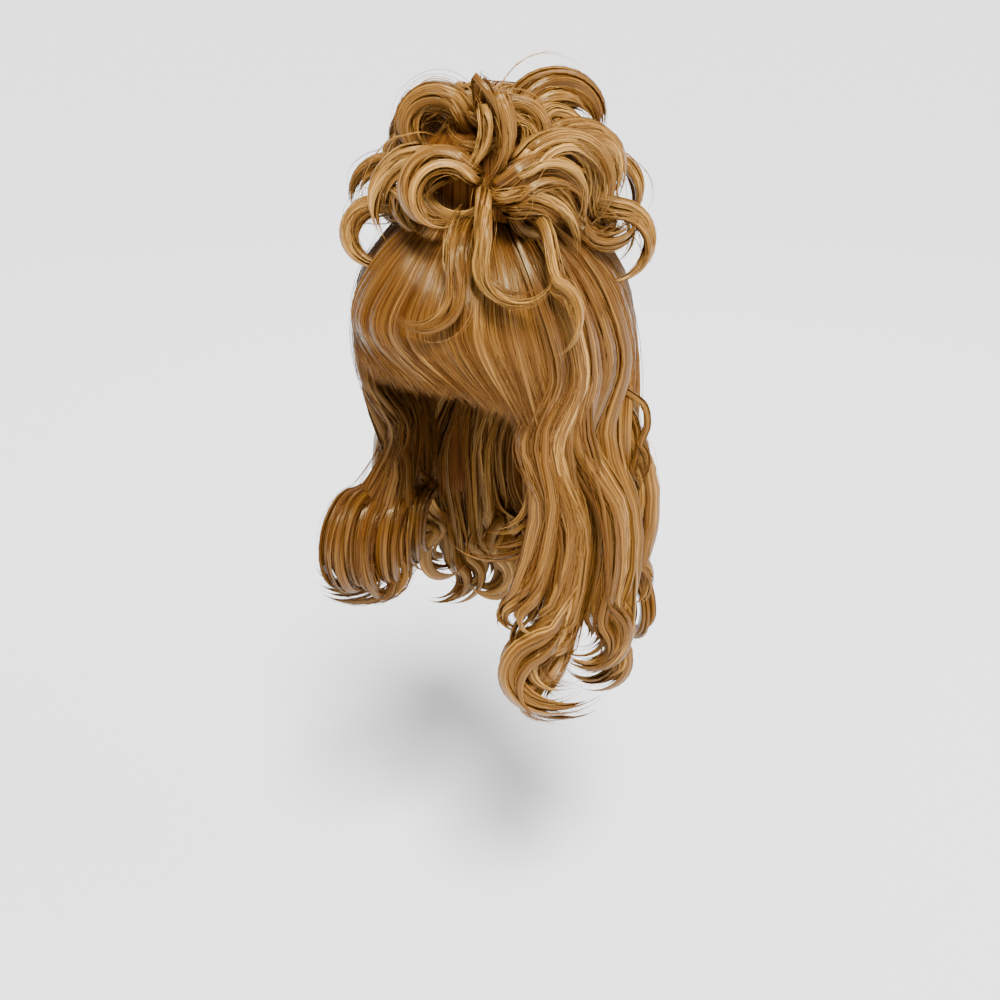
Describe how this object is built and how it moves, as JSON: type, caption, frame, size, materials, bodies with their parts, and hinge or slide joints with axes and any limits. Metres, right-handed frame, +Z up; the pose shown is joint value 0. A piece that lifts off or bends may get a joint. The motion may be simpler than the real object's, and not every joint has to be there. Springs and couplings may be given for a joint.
{
  "type": "long curly wig",
  "caption": "Long wig with a high pile of ring curls on the crown, a smooth swept fringe, and waved side and back falls that end in ringlets, on an open cap.",
  "frame": {"origin": "middle of the head hollow at the brow line, where the wig sits on a head", "axes": "+Z up, -Y the way the wearer faces, +X the wearer's left"},
  "size_m": [0.2565, 0.2735, 0.5013],
  "materials": {
    "hair": "glossy golden caramel synthetic fibre",
    "cap_net": "matte brown stretch net"
  },
  "bodies": {
    "root": {"cap": "cap_net", "fringe": "hair", "left_fall": "hair", "right_fall": "hair", "back_fall": "hair", "updo": "hair"}
  },
  "joints": []
}
